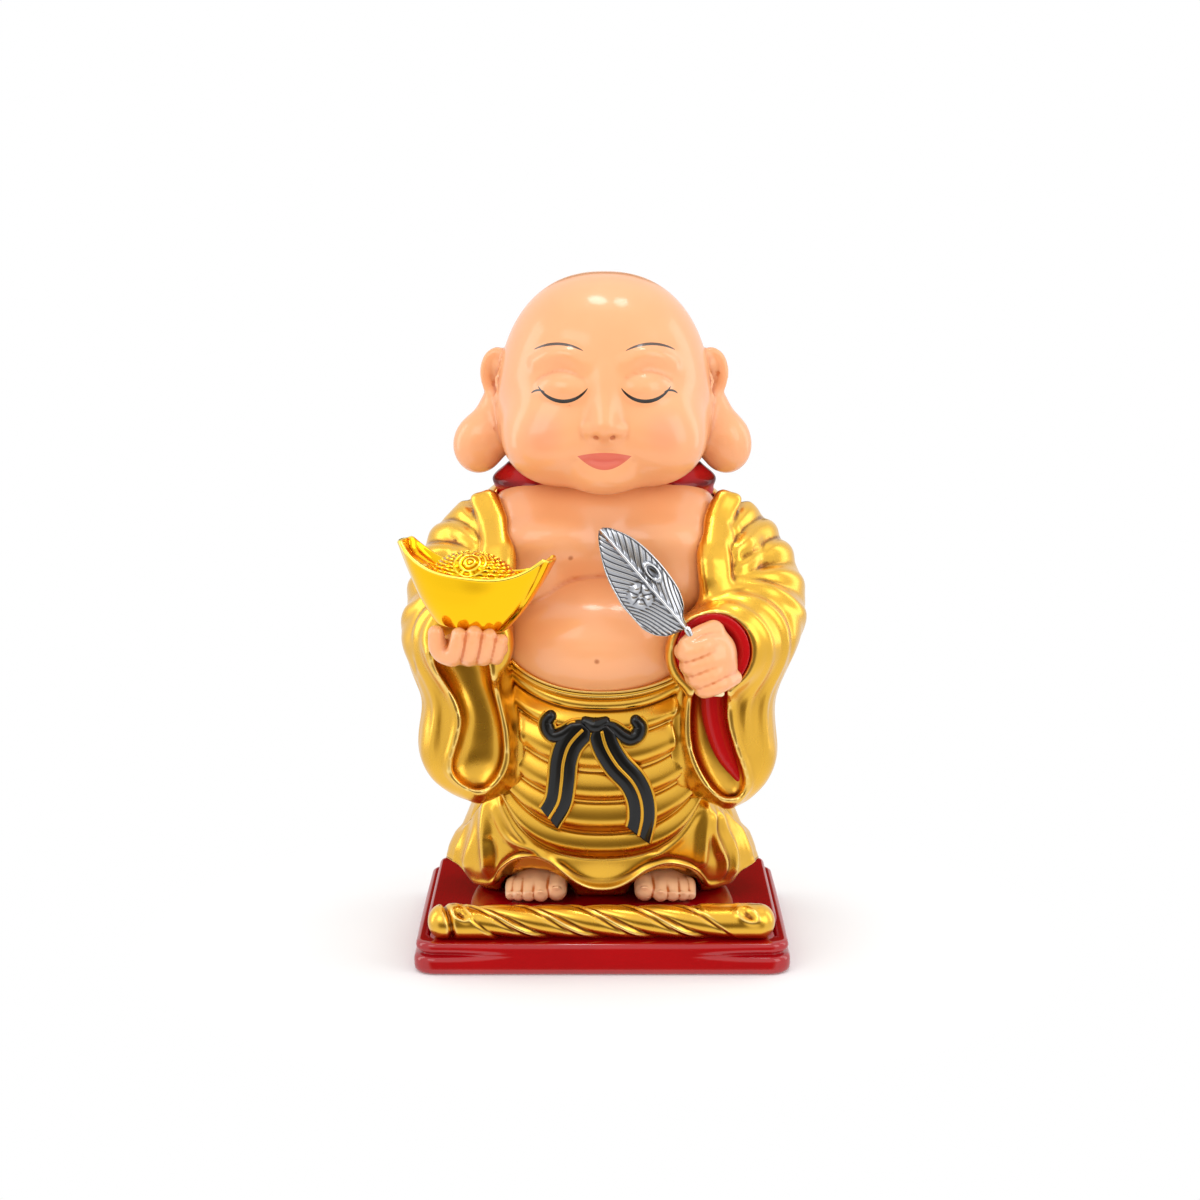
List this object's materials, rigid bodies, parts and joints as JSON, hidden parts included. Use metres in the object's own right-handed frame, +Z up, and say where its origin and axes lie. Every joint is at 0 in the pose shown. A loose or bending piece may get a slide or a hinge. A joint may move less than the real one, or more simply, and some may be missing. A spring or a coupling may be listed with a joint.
{
  "type": "buddha figurine",
  "caption": "Standing bald monk figurine in a draped gold robe, holding a boat-shaped ingot and a silver leaf fan, on a stepped red base with a twisted roll in front.",
  "frame": {"origin": "centre of the base's underside", "axes": "+Z up, the figure faces -Y, +X towards the figure's left hand"},
  "size_m": [0.133, 0.1069, 0.2215],
  "materials": {
    "skin_paint": "flesh paint under a gloss lacquer",
    "gold_plating": "satin vacuum-plated gold",
    "ingot_plating": "bright vacuum-plated yellow gold",
    "silver_plating": "bright vacuum-plated silver",
    "red_base": "high-gloss red paint",
    "red_lining": "gloss dark red paint",
    "black_sash": "satin black paint with gold edge lines"
  },
  "bodies": {
    "root": {"base": "red_base", "cloth_roll": "gold_plating", "robe": "gold_plating", "torso": "skin_paint", "head": "skin_paint", "inner_collar": "red_lining", "right_foot": "skin_paint", "left_foot": "skin_paint", "right_hand": "skin_paint", "left_hand": "skin_paint", "ingot": "ingot_plating", "leaf_fan": "silver_plating", "sash_bow": "black_sash", "sleeve_lining": "red_lining"}
  },
  "joints": []
}
